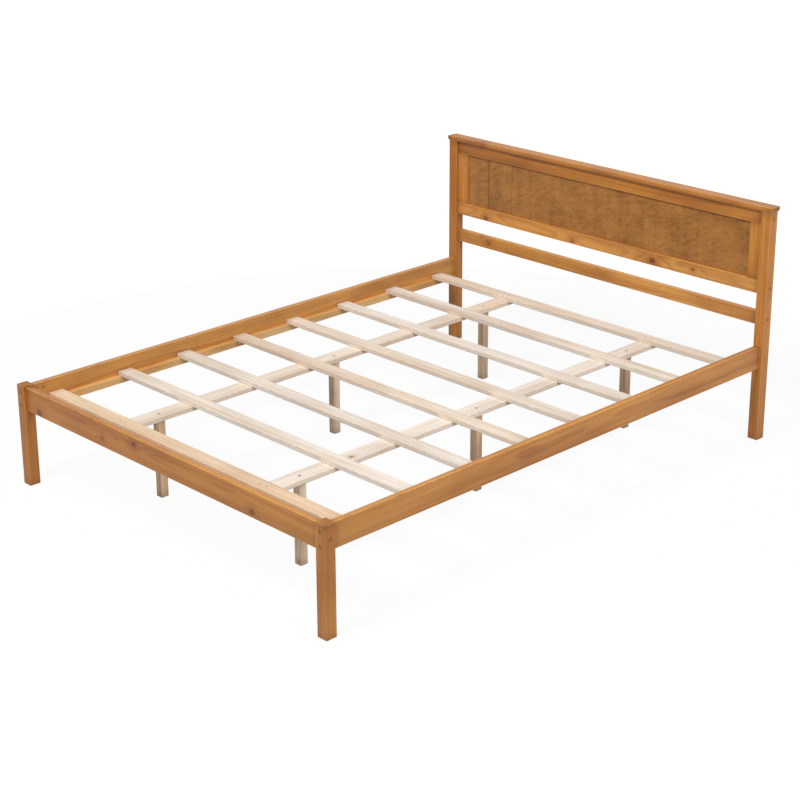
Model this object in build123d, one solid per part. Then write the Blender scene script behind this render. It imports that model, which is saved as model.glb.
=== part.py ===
from build123d import *
import math
import os

# Platform bed for a mattress 1372 mm wide and 1905 mm long.
# Origin on the floor, at the middle of the box round the bed and its cap.
# +Z is up and +Y points to the headboard.
# Left is -X and right is +X, as seen from the foot. All sizes are in millimetres.

# Mattress space
mattress_width = 1372
mattress_length = 1905
mattress_side_clearance = 6
mattress_end_clearance = 5

# Posts and rails
post_size = 38
foot_post_rise = 6
rail_thickness = 19
rail_height = 79
floor_clearance = 254
frame_edge_radius = 2.5
post_top_chamfer = 2

# Ledger strips, slats and their support
ledger_thickness = 19
ledger_height = 23
ledger_setback = 60
slat_count = 8
slat_width = 52
slat_thickness = 14
slat_end_clearance = 3
slat_edge_radius = 1.5
first_slat_margin = 67
last_slat_margin = 75
first_slat_extra_gap = 27
support_spacing = 658
support_rail_width = 62
support_rail_thickness = 14
support_rail_setback = 5
leg_size = 27
leg_rows = 3

# Headboard
headboard_thickness = 19
headboard_rail_height = 46
stile_width = 46
cross_rail_underside = 401
headboard_gap = 60
panel_opening_height = 190
panel_thickness = 5
groove_depth = 6
cap_thickness = 17
cap_overhang = 3.5
cap_bevel_height = 6
headboard_edge_radius = 1

# Connector bolts, barrel nuts and dowels
bolt_diameter = 6
bolt_head_diameter = 11.5
bolt_head_height = 3.5
bolt_head_sink = 0.5
bolt_socket_width = 4
bolt_socket_depth = 2
bolt_reach = 40
bolt_tip = 6
side_bolt_spread = 42
nut_diameter = 10
nut_length = 16
nut_sink = 1
dowel_diameter = 6
dowel_in_post = 11
dowel_in_rail = 18
foot_dowel_spread = 46
dowel_wall = 1.5
dowel_end_chamfer = 0.75
cap_dowel_count = 4
cap_dowel_margin = 110
cap_dowel_in_cap = 9

# Bolts of the support legs and screws
leg_bolt_grip = 45
leg_bolt_sink = 2
screw_diameter = 3.5
screw_head_diameter = 7
screw_head_height = 2.5
screw_slot_length = 4.2
screw_slot_width = 0.8
screw_slot_depth = 1.2
slat_screw_length = 24
end_slat_screw_spread = 26
ledger_screw_length = 32
ledger_screw_count = 8
ledger_screw_margin = 34

# Clearances of the fits
round_clearance = 0.2
bolt_head_clearance = 0.4
groove_clearance = 0.2
end_clearance = 0.3

# Plan of the frame
rail_recess = (post_size - rail_thickness) / 2
deck_length = mattress_length + 2 * mattress_end_clearance
inner_half_width = mattress_width / 2 + mattress_side_clearance
half_width = inner_half_width + rail_thickness + rail_recess
bed_length = rail_recess + rail_thickness + deck_length + post_size
foot_y = -(bed_length + cap_overhang) / 2
head_y = foot_y + bed_length
deck_foot_y = foot_y + rail_recess + rail_thickness
deck_head_y = head_y - post_size
post_x = half_width - post_size / 2
foot_post_y = foot_y + post_size / 2
head_post_y = head_y - post_size / 2
rail_half_span = half_width - post_size
side_rail_foot_y = foot_y + post_size
SIDES = {"left": -1, "right": 1}

# Heights
rail_top = floor_clearance + rail_height
rail_middle = floor_clearance + rail_height / 2
foot_post_height = rail_top + foot_post_rise
slat_bottom = floor_clearance + ledger_height
slat_top = slat_bottom + slat_thickness
support_rail_bottom = slat_bottom - support_rail_thickness
bottom_rail_underside = cross_rail_underside + headboard_rail_height + headboard_gap
panel_bottom = bottom_rail_underside + headboard_rail_height
panel_top = panel_bottom + panel_opening_height
head_post_height = panel_top + headboard_rail_height

# Slats: the first gap is wider, the others are alike
first_slat_y = deck_foot_y + first_slat_margin + slat_width / 2
last_slat_y = deck_head_y - last_slat_margin - slat_width / 2
slat_pitch = (last_slat_y - first_slat_y - first_slat_extra_gap) / (slat_count - 1)
slat_half_length = inner_half_width - slat_end_clearance
slat_positions = [first_slat_y]
for slat_index in range(1, slat_count):
    slat_positions.append(first_slat_y + first_slat_extra_gap + slat_index * slat_pitch)

# Support legs stand halfway between slats: after the first, in the middle, before the last
first_leg_y = (slat_positions[0] + slat_positions[1]) / 2
last_leg_y = (slat_positions[-2] + slat_positions[-1]) / 2
leg_positions = []
for leg_index in range(leg_rows):
    leg_positions.append(first_leg_y + leg_index * (last_leg_y - first_leg_y) / (leg_rows - 1))
support_foot_y = first_slat_y - slat_width / 2 + support_rail_setback
support_head_y = last_slat_y + slat_width / 2 - support_rail_setback

# Hole sizes
bolt_hole_diameter = bolt_diameter + 2 * round_clearance
nut_hole_diameter = nut_diameter + 2 * round_clearance
head_hole_diameter = bolt_head_diameter + 2 * bolt_head_clearance
dowel_hole_diameter = dowel_diameter + 2 * round_clearance
nut_depth = nut_length + nut_sink
half_groove = panel_thickness / 2 + groove_clearance

# Bolt depths below the surface that the head is sunk in
connector_depth = post_size + bolt_reach + bolt_tip
leg_bolt_depth = support_rail_thickness + leg_bolt_grip

# Bolt and dowel places
side_bolt_heights = [rail_middle - side_bolt_spread / 2, rail_middle + side_bolt_spread / 2]
foot_dowel_heights = [rail_middle - foot_dowel_spread / 2, rail_middle + foot_dowel_spread / 2]
headboard_undersides = [cross_rail_underside, bottom_rail_underside, panel_top]
headboard_middles = [height + headboard_rail_height / 2 for height in headboard_undersides]
headboard_dowel_offset = headboard_rail_height / 2 - groove_depth - dowel_hole_diameter / 2 - dowel_wall
cap_dowel_span = 2 * (rail_half_span - cap_dowel_margin)


def block(x_range, y_range, z_range):
    """Plain block between two values on each axis."""
    size_x = x_range[1] - x_range[0]
    size_y = y_range[1] - y_range[0]
    size_z = z_range[1] - z_range[0]
    middle = Pos(sum(x_range) / 2, sum(y_range) / 2, sum(z_range) / 2)
    return middle * Box(size_x, size_y, size_z)


def board(x_range, y_range, z_range, along, radius):
    """Block with its four long edges rounded."""
    shape = block(x_range, y_range, z_range)
    return fillet(shape.edges().filter_by(along), radius)


def rod(diameter, start, end):
    """Round bar along Z from start to end."""
    return Pos(0, 0, (start + end) / 2) * Cylinder(diameter / 2, end - start)


def at(x, y, z, direction):
    """Frame at a point, with its Z axis along the direction."""
    return Plane(origin=(x, y, z), z_dir=direction)


# Fasteners. Each is made along its own Z axis, which points into the wood from the surface.


def headed_bolt(sink, depth):
    """Bolt with a low round head and a hexagonal socket, sunk in the surface."""
    neck = sink + bolt_head_height
    head = rod(bolt_head_diameter, sink, neck)
    shank = rod(bolt_diameter, neck, depth)
    socket = extrude(RegularPolygon(bolt_socket_width / 2, 6, major_radius=False), bolt_socket_depth)
    return head + shank - Pos(0, 0, sink) * socket


def headed_hole(sink, depth):
    """Stepped hole for a bolt with a round head."""
    neck = sink + bolt_head_height
    head = rod(head_hole_diameter, 0, neck)
    return head + rod(bolt_hole_diameter, neck, depth + end_clearance)


def connector_hole():
    """Stepped hole for a connector bolt, through a post and into the end of a rail."""
    return headed_hole(bolt_head_sink, connector_depth)


def barrel_nut(bolt_depth):
    """Round cross nut with a hole for the bolt, which passes bolt_depth below the surface."""
    body = rod(nut_diameter, nut_sink, nut_depth)
    bore = Pos(0, 0, bolt_depth) * Rot(0, 90, 0) * Cylinder(bolt_hole_diameter / 2, 2 * nut_diameter)
    return body - bore


def dowel(first_depth, second_depth):
    """Wooden dowel across a joint at Z = 0, with chamfered ends."""
    body = rod(dowel_diameter, -first_depth, second_depth)
    return chamfer(body.edges().filter_by(GeomType.CIRCLE), dowel_end_chamfer)


def dowel_hole(first_depth, second_depth):
    """Hole for a dowel on both sides of the joint."""
    return rod(dowel_hole_diameter, -first_depth - end_clearance, second_depth + end_clearance)


def screw(length):
    """Countersunk wood screw with its head flush with the surface."""
    taper = Pos(0, 0, screw_head_height / 2) * Cone(
        screw_head_diameter / 2, screw_diameter / 2, screw_head_height
    )
    slot = Box(screw_slot_length, screw_slot_width, 2 * screw_slot_depth)
    return taper + rod(screw_diameter, screw_head_height, length) - slot - Rot(0, 0, 90) * slot


def screw_hole(length):
    """Hole that fits a countersunk screw."""
    taper = Pos(0, 0, screw_head_height / 2) * Cone(
        screw_head_diameter / 2, screw_diameter / 2 + round_clearance / 2, screw_head_height
    )
    shank = rod(screw_diameter + round_clearance, screw_head_height, length + end_clearance)
    return taper + shank


# Places of the joints. Every list holds frames whose Z axis points into the wood.


def side_rail_bolt_frames():
    """Bolts through the posts into both ends of the side rails."""
    frames = []
    for side in SIDES.values():
        for height in side_bolt_heights:
            frames.append(at(side * post_x, foot_y, height, (0, 1, 0)))
            frames.append(at(side * post_x, head_y, height, (0, -1, 0)))
    return frames


def side_rail_nut_frames(side):
    """Cross nuts in a side rail, entered from its inner face."""
    frames = []
    for height in side_bolt_heights:
        for y in (side_rail_foot_y + bolt_reach, deck_head_y - bolt_reach):
            frames.append(Plane((side * inner_half_width, y, height), x_dir=(0, 1, 0), z_dir=(side, 0, 0)))
    return frames


def foot_rail_bolt_frames():
    """Bolts through the foot posts into the ends of the foot rail."""
    return [at(side * half_width, foot_post_y, rail_middle, (-side, 0, 0)) for side in SIDES.values()]


def foot_rail_nut_frames():
    """Cross nuts in the foot rail, entered from its inner face."""
    frames = []
    for side in SIDES.values():
        x = side * (rail_half_span - bolt_reach)
        frames.append(Plane((x, deck_foot_y, rail_middle), x_dir=(1, 0, 0), z_dir=(0, -1, 0)))
    return frames


def foot_rail_dowel_frames():
    """Dowels between the foot rail and the foot posts."""
    frames = []
    for side in SIDES.values():
        for height in foot_dowel_heights:
            frames.append(at(side * rail_half_span, foot_post_y, height, (-side, 0, 0)))
    return frames


def headboard_bolt_frames():
    """Bolts through the head posts into the three headboard rails."""
    frames = []
    for side in SIDES.values():
        for height in headboard_middles:
            frames.append(at(side * half_width, head_post_y, height, (-side, 0, 0)))
    return frames


def headboard_nut_frames(height):
    """Cross nuts in one headboard rail, entered from its back."""
    frames = []
    back_y = head_post_y + headboard_thickness / 2
    for side in SIDES.values():
        x = side * (rail_half_span - bolt_reach)
        frames.append(Plane((x, back_y, height), x_dir=(1, 0, 0), z_dir=(0, -1, 0)))
    return frames


def headboard_dowel_frames(height):
    """Dowels between one headboard rail and the head posts."""
    frames = []
    for side in SIDES.values():
        for offset in (-headboard_dowel_offset, headboard_dowel_offset):
            frames.append(at(side * rail_half_span, head_post_y, height + offset, (-side, 0, 0)))
    return frames


def cap_dowel_frames():
    """Dowels between the cap and the top rail."""
    frames = []
    for index in range(cap_dowel_count):
        x = -cap_dowel_span / 2 + index * cap_dowel_span / (cap_dowel_count - 1)
        frames.append(at(x, head_post_y, head_post_height, (0, 0, -1)))
    return frames


def end_slat_screw_frames():
    """Screws down through the first and last slat, two at each support rail."""
    frames = []
    for y in (slat_positions[0], slat_positions[-1]):
        for side in SIDES.values():
            for offset in (-end_slat_screw_spread / 2, end_slat_screw_spread / 2):
                frames.append(at(side * support_spacing / 2 + offset, y, slat_top, (0, 0, -1)))
    return frames


def lower_slat_screw_frames():
    """Screws up through the support rails into the slats between the end slats."""
    frames = []
    for y in slat_positions[1:-1]:
        for side in SIDES.values():
            frames.append(at(side * support_spacing / 2, y, support_rail_bottom, (0, 0, 1)))
    return frames


def leg_bolt_frames():
    """Bolts down through the support rails into the support legs."""
    frames = []
    for side in SIDES.values():
        for y in leg_positions:
            frames.append(at(side * support_spacing / 2, y, slat_bottom, (0, 0, -1)))
    return frames


def ledger_screw_frames():
    """Screws through the ledger strips into the side rails."""
    frames = []
    first_y = deck_foot_y + ledger_setback + ledger_screw_margin
    last_y = deck_head_y - ledger_setback - ledger_screw_margin
    step = (last_y - first_y) / (ledger_screw_count - 1)
    inner_x = inner_half_width - ledger_thickness
    height = floor_clearance + ledger_height / 2
    for side in SIDES.values():
        for index in range(ledger_screw_count):
            frames.append(at(side * inner_x, first_y + index * step, height, (side, 0, 0)))
    return frames


# Fasteners and holes in place


def placed(frames, shape):
    """Copies of one shape, one at each frame."""
    return [frame * shape for frame in frames]


def drilled(piece, frames, hole):
    """Piece with a hole at every frame that reaches it."""
    for cutter in placed(frames, hole):
        if piece.bounding_box().overlaps(cutter.bounding_box()):
            piece = piece - cutter
    return piece


# Frame pieces


def foot_post(side):
    """Short post at a foot corner."""
    x_range = sorted((side * half_width, side * rail_half_span))
    post = board(x_range, (foot_y, side_rail_foot_y), (0, foot_post_height), Axis.Z, frame_edge_radius)
    post = chamfer(post.faces().sort_by(Axis.Z)[-1].edges(), post_top_chamfer)
    post = drilled(post, side_rail_bolt_frames() + foot_rail_bolt_frames(), connector_hole())
    return drilled(post, foot_rail_dowel_frames(), dowel_hole(dowel_in_post, dowel_in_rail))


def head_post(side):
    """Tall post at a head corner, under the cap."""
    x_range = sorted((side * half_width, side * rail_half_span))
    post = board(x_range, (deck_head_y, head_y), (0, head_post_height), Axis.Z, frame_edge_radius)
    post = drilled(post, side_rail_bolt_frames() + headboard_bolt_frames(), connector_hole())
    for height in headboard_middles:
        post = drilled(post, headboard_dowel_frames(height), dowel_hole(dowel_in_post, dowel_in_rail))
    return post


def foot_rail():
    """Board between the foot posts."""
    x_range = (-rail_half_span, rail_half_span)
    y_range = (deck_foot_y - rail_thickness, deck_foot_y)
    rail = board(x_range, y_range, (floor_clearance, rail_top), Axis.X, frame_edge_radius)
    rail = drilled(rail, foot_rail_bolt_frames(), connector_hole())
    rail = drilled(rail, foot_rail_nut_frames(), rod(nut_hole_diameter, 0, nut_depth))
    return drilled(rail, foot_rail_dowel_frames(), dowel_hole(dowel_in_post, dowel_in_rail))


def side_rail(side):
    """Board between a foot post and a head post."""
    x_range = sorted((side * inner_half_width, side * (inner_half_width + rail_thickness)))
    y_range = (side_rail_foot_y, deck_head_y)
    rail = board(x_range, y_range, (floor_clearance, rail_top), Axis.Y, frame_edge_radius)
    rail = drilled(rail, side_rail_bolt_frames(), connector_hole())
    rail = drilled(rail, side_rail_nut_frames(side), rod(nut_hole_diameter, 0, nut_depth))
    return drilled(rail, ledger_screw_frames(), screw_hole(ledger_screw_length))


def ledger(side):
    """Strip on the inner face of a side rail, which carries the slat ends."""
    x_range = sorted((side * inner_half_width, side * (inner_half_width - ledger_thickness)))
    y_range = (deck_foot_y + ledger_setback, deck_head_y - ledger_setback)
    strip = board(x_range, y_range, (floor_clearance, slat_bottom), Axis.Y, slat_edge_radius)
    return drilled(strip, ledger_screw_frames(), screw_hole(ledger_screw_length))


# Slats and their support


def slat(y):
    """Slat across the bed, on the ledgers and the support rails."""
    x_range = (-slat_half_length, slat_half_length)
    y_range = (y - slat_width / 2, y + slat_width / 2)
    strip = board(x_range, y_range, (slat_bottom, slat_top), Axis.X, slat_edge_radius)
    strip = drilled(strip, end_slat_screw_frames(), screw_hole(slat_screw_length))
    return drilled(strip, lower_slat_screw_frames(), screw_hole(slat_screw_length))


def support_rail(side):
    """Flat board along the bed under the slats."""
    x = side * support_spacing / 2
    x_range = (x - support_rail_width / 2, x + support_rail_width / 2)
    y_range = (support_foot_y, support_head_y)
    rail = board(x_range, y_range, (support_rail_bottom, slat_bottom), Axis.Y, slat_edge_radius)
    rail = drilled(rail, leg_bolt_frames(), headed_hole(leg_bolt_sink, leg_bolt_depth))
    rail = drilled(rail, end_slat_screw_frames(), screw_hole(slat_screw_length))
    return drilled(rail, lower_slat_screw_frames(), screw_hole(slat_screw_length))


def support_leg(side, y):
    """Square leg under a support rail."""
    x = side * support_spacing / 2
    x_range = (x - leg_size / 2, x + leg_size / 2)
    y_range = (y - leg_size / 2, y + leg_size / 2)
    leg = board(x_range, y_range, (0, support_rail_bottom), Axis.Z, slat_edge_radius)
    return drilled(leg, leg_bolt_frames(), headed_hole(leg_bolt_sink, leg_bolt_depth))


# Headboard


def headboard_rail(underside):
    """Rail between the head posts, with holes at both ends."""
    x_range = (-rail_half_span, rail_half_span)
    y_range = (head_post_y - headboard_thickness / 2, head_post_y + headboard_thickness / 2)
    z_range = (underside, underside + headboard_rail_height)
    middle = underside + headboard_rail_height / 2
    rail = board(x_range, y_range, z_range, Axis.X, headboard_edge_radius)
    rail = drilled(rail, headboard_bolt_frames(), connector_hole())
    rail = drilled(rail, headboard_nut_frames(middle), rod(nut_hole_diameter, 0, nut_depth))
    return drilled(rail, headboard_dowel_frames(middle), dowel_hole(dowel_in_post, dowel_in_rail))


def panel_groove(z_range):
    """Groove along a headboard rail for the panel and the stile tongues."""
    y_range = (head_post_y - half_groove, head_post_y + half_groove)
    return block((-rail_half_span, rail_half_span), y_range, z_range)


def headboard_top_rail():
    """Upper rail of the panel frame, under the cap."""
    rail = headboard_rail(panel_top)
    rail = drilled(rail, cap_dowel_frames(), dowel_hole(cap_dowel_in_cap, dowel_in_rail))
    return rail - panel_groove((panel_top, panel_top + groove_depth))


def headboard_bottom_rail():
    """Lower rail of the panel frame."""
    rail = headboard_rail(bottom_rail_underside)
    return rail - panel_groove((panel_bottom - groove_depth, panel_bottom))


def headboard_stile(side):
    """Upright of the panel frame beside a post, with a tongue at both ends."""
    inner_x = rail_half_span - stile_width
    x_range = sorted((side * inner_x, side * rail_half_span))
    y_range = (head_post_y - headboard_thickness / 2, head_post_y + headboard_thickness / 2)
    stile = board(x_range, y_range, (panel_bottom, panel_top), Axis.Z, headboard_edge_radius)
    groove_x = sorted((side * inner_x, side * (inner_x + groove_depth)))
    groove_y = (head_post_y - half_groove, head_post_y + half_groove)
    stile = stile - block(groove_x, groove_y, (panel_bottom, panel_top))
    tongue_x = sorted((side * (inner_x + groove_depth + end_clearance), side * rail_half_span))
    tongue_y = (head_post_y - panel_thickness / 2, head_post_y + panel_thickness / 2)
    tongue_z = (panel_bottom - groove_depth + end_clearance, panel_top + groove_depth - end_clearance)
    return stile + block(tongue_x, tongue_y, tongue_z)


def headboard_panel():
    """Thin panel, standing in the grooves of its frame."""
    half_panel = rail_half_span - stile_width + groove_depth - end_clearance
    y_range = (head_post_y - panel_thickness / 2, head_post_y + panel_thickness / 2)
    z_range = (panel_bottom - groove_depth, panel_top + groove_depth - end_clearance)
    return block((-half_panel, half_panel), y_range, z_range)


def headboard_cap():
    """Board over the posts and the top rail, with its lower edges bevelled in to the posts."""
    taper = math.degrees(math.atan(cap_overhang / cap_bevel_height))
    underside = Pos(0, head_post_y, head_post_height) * Rectangle(2 * half_width, post_size)
    bevel = extrude(underside, cap_bevel_height, taper=-taper)
    x_edge = half_width + cap_overhang
    y_range = (deck_head_y - cap_overhang, head_y + cap_overhang)
    z_range = (head_post_height + cap_bevel_height, head_post_height + cap_thickness)
    slab = block((-x_edge, x_edge), y_range, z_range)
    slab = fillet(slab.faces().sort_by(Axis.Z)[-1].edges(), headboard_edge_radius)
    return drilled(slab + bevel, cap_dowel_frames(), dowel_hole(cap_dowel_in_cap, dowel_in_rail))


# Every sub-part and its name


def frame_parts():
    """Posts, rails and ledgers."""
    parts = {"foot_rail": foot_rail()}
    for name, side in SIDES.items():
        parts[f"foot_post_{name}"] = foot_post(side)
        parts[f"head_post_{name}"] = head_post(side)
        parts[f"side_rail_{name}"] = side_rail(side)
        parts[f"ledger_{name}"] = ledger(side)
    return parts


def deck_parts():
    """Slats, support rails and support legs."""
    parts = {}
    for index, y in enumerate(slat_positions, start=1):
        parts[f"slat_{index}"] = slat(y)
    for name, side in SIDES.items():
        parts[f"support_rail_{name}"] = support_rail(side)
        for index, y in enumerate(leg_positions, start=1):
            parts[f"support_leg_{name}_{index}"] = support_leg(side, y)
    return parts


def headboard_parts():
    """Cap, rails, stiles and panel."""
    parts = {
        "headboard_cap": headboard_cap(),
        "headboard_top_rail": headboard_top_rail(),
        "headboard_bottom_rail": headboard_bottom_rail(),
        "headboard_cross_rail": headboard_rail(cross_rail_underside),
        "headboard_panel": headboard_panel(),
    }
    for name, side in SIDES.items():
        parts[f"headboard_stile_{name}"] = headboard_stile(side)
    return parts


def fastener_parts():
    """Bolts, cross nuts, dowels and screws, alike ones in one sub-part."""
    side_nuts = side_rail_nut_frames(-1) + side_rail_nut_frames(1)
    board_nuts = []
    board_dowels = []
    for height in headboard_middles:
        board_nuts += headboard_nut_frames(height)
        board_dowels += headboard_dowel_frames(height)
    connector_bolt = headed_bolt(bolt_head_sink, connector_depth)
    leg_bolt = headed_bolt(leg_bolt_sink, leg_bolt_depth)
    rail_dowel = dowel(dowel_in_post, dowel_in_rail)
    slat_screws = end_slat_screw_frames() + lower_slat_screw_frames()
    return {
        "side_rail_bolts": placed(side_rail_bolt_frames(), connector_bolt),
        "side_rail_barrel_nuts": placed(side_nuts, barrel_nut(rail_thickness / 2)),
        "foot_rail_bolts": placed(foot_rail_bolt_frames(), connector_bolt),
        "foot_rail_barrel_nuts": placed(foot_rail_nut_frames(), barrel_nut(rail_thickness / 2)),
        "foot_rail_dowels": placed(foot_rail_dowel_frames(), rail_dowel),
        "headboard_bolts": placed(headboard_bolt_frames(), connector_bolt),
        "headboard_barrel_nuts": placed(board_nuts, barrel_nut(headboard_thickness / 2)),
        "headboard_dowels": placed(board_dowels, rail_dowel),
        "cap_dowels": placed(cap_dowel_frames(), dowel(cap_dowel_in_cap, dowel_in_rail)),
        "leg_bolts": placed(leg_bolt_frames(), leg_bolt),
        "slat_screws": placed(slat_screws, screw(slat_screw_length)),
        "ledger_screws": placed(ledger_screw_frames(), screw(ledger_screw_length)),
    }


def solids_of(shape):
    """Solids of one shape or of a list of shapes."""
    shapes = shape if isinstance(shape, list) else [shape]
    return [solid for item in shapes for solid in item.solids()]


def main():
    """Write one file for each sub-part."""
    os.makedirs("parts", exist_ok=True)
    parts = {**frame_parts(), **deck_parts(), **headboard_parts(), **fastener_parts()}
    for name, shape in parts.items():
        solids = solids_of(shape)
        whole = solids[0] if len(solids) == 1 else Compound(solids)
        export_step(whole, f"parts/{name}.step")
    print(f"{len(parts)} sub-parts, bed {2 * half_width} x {bed_length} x {head_post_height + cap_thickness}")


main()
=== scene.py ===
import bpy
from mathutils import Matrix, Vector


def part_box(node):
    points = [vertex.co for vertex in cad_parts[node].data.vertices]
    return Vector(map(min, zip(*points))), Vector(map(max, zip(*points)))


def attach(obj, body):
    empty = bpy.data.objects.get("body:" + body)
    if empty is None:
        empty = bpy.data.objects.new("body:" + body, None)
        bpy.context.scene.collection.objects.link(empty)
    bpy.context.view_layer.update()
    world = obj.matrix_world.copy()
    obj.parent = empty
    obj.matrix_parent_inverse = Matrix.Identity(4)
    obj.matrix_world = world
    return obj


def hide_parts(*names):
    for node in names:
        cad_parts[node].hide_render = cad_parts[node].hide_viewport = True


bl_info = {
    "name": "Platform bed",
    "version": (1, 0, 0),
    "blender": (4, 5, 0),
    "location": "View3D > Sidebar > Bed",
    "description": "Wood finishes, turned hardware and a studio for a slatted platform bed",
    "category": "Object",
}

import math
from typing import NamedTuple

import bmesh
import bpy
from bpy.props import FloatProperty, FloatVectorProperty, IntProperty, PointerProperty
from bpy.types import Operator, Panel, PropertyGroup
from mathutils import Euler, Matrix, Vector

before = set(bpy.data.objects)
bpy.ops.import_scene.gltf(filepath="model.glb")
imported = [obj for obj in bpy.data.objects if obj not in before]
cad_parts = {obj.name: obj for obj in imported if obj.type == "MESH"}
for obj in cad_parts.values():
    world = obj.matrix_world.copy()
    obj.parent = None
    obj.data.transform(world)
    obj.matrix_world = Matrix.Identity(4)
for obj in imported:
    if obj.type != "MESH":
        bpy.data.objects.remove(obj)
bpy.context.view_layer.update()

MM = 0.001


def srgb(red, green, blue):
    """Linear colour of an eight-bit screen colour."""
    values = [channel / 255 for channel in (red, green, blue)]
    return tuple(v / 12.92 if v <= 0.04045 else ((v + 0.055) / 1.055) ** 2.4 for v in values)


def colour_property(name, description, default):
    """Colour that a user can change."""
    return FloatVectorProperty(
        name=name, description=description, subtype="COLOR", size=3, min=0, max=1, default=default
    )


def length_property(name, description, default):
    """Length that a user can change, in metres."""
    return FloatProperty(
        name=name, description=description, default=default, min=0, unit="LENGTH", precision=5
    )


def new_object(name, data):
    """Object of some mesh, lamp or camera, put in the scene."""
    made = bpy.data.objects.new(name, data)
    bpy.context.scene.collection.objects.link(made)
    return made


# Settings


class BedFinish(PropertyGroup):
    """Colours of the woods and metals."""

    stain_light: colour_property("Stain light", "Stained pine between the growth rings", srgb(211, 141, 71))
    stain_dark: colour_property("Stain dark", "Stained pine on the growth rings", srgb(161, 94, 37))
    stain_warm: colour_property("Stain warm", "Reddish patches of the stain", srgb(196, 114, 48))
    head_light: colour_property("Headboard light", "Headboard timber between the rings", srgb(219, 145, 65))
    head_dark: colour_property("Headboard dark", "Headboard timber on the rings", srgb(168, 99, 36))
    ledger_light: colour_property("Ledger light", "Thinly stained ledger strips", srgb(222, 170, 112))
    bare_light: colour_property("Bare light", "Unfinished pine between the rings", srgb(240, 227, 212))
    bare_dark: colour_property("Bare dark", "Unfinished pine on the rings", srgb(219, 192, 165))
    bare_warm: colour_property("Bare warm", "Pinkish patches of unfinished pine", srgb(240, 216, 196))
    # Golden edge colour: partly stain worn thin, partly a painted highlight along the eased edges.
    stain_edge_highlight: colour_property("Stain edge", "Eased edges, where the stain is thin", srgb(238, 178, 88))
    bare_edge: colour_property("Bare edge", "Sawn edges of the bare pine", srgb(198, 166, 138))
    leg_dark: colour_property("Leg dark", "Growth rings of the support legs", srgb(190, 152, 118))
    knot_stained: colour_property("Stained knot", "Heart of a knot under stain", srgb(112, 42, 12))
    knot_bare: colour_property("Bare knot", "Heart of a knot in bare pine", srgb(132, 88, 60))
    panel_light: colour_property("Panel light", "Light figure of the panel's veneer", srgb(190, 130, 64))
    panel_dark: colour_property("Panel dark", "Dark figure of the panel's veneer", srgb(132, 83, 35))
    bolt_steel: colour_property("Bolt steel", "Zinc-plated connector bolts", srgb(166, 122, 74))
    nut_steel: colour_property("Nut steel", "Zinc-plated barrel nuts", srgb(172, 136, 92))
    screw_steel: colour_property("Screw steel", "Yellow-zinc wood screws", srgb(206, 186, 150))
    dowel_wood: colour_property("Dowel wood", "Beech dowels", srgb(214, 178, 134))


class BedHardware(PropertyGroup):
    """Sizes of the bolts, nuts, screws and dowels that the solids leave plain."""

    socket_width: length_property("Socket width", "Across the flats of a bolt's hexagon socket", 4 * MM)
    socket_depth: length_property("Socket depth", "Depth of the hexagon socket", 2 * MM)
    bolt_pitch: length_property("Bolt pitch", "Pitch of the bolt's thread", 1 * MM)
    bolt_thread: length_property("Bolt thread", "Threaded length at the bolt's tip", 30 * MM)
    screw_pitch: length_property("Screw pitch", "Pitch of a wood screw's thread", 1.6 * MM)
    thread_depth: length_property("Thread depth", "Depth of the threads", 0.45 * MM)
    nut_slot: length_property("Nut slot", "Width of the slot in a barrel nut", 1.2 * MM)
    recess_width: length_property("Recess width", "Width of a screw's cross recess", 0.9 * MM)
    dowel_flutes: IntProperty(name="Dowel flutes", description="Grooves round a dowel", default=16, min=3)
    flute_depth: length_property("Flute depth", "Depth of a dowel's grooves", 0.22 * MM)


class BedStage(PropertyGroup):
    """Light, floor and camera."""

    key_strength: FloatProperty(
        name="Key", description="Power of the high front lamp", default=590, min=0, unit="POWER"
    )
    fill_strength: FloatProperty(
        name="Fill", description="Power of the low side lamp", default=258, min=0, unit="POWER"
    )
    sky_strength: FloatProperty(name="Sky", description="Strength of the even light", default=0.23, min=0)
    floor_share: FloatProperty(
        name="Floor shadow", description="Share of the floor that takes shadow", default=0.16, min=0, max=1
    )
    floor_colour: colour_property("Floor", "Pale floor", (0.45, 0.45, 0.45))
    lens: FloatProperty(name="Lens", description="Focal length in millimetres", default=81.97, min=1)


# Shader nodes


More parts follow.
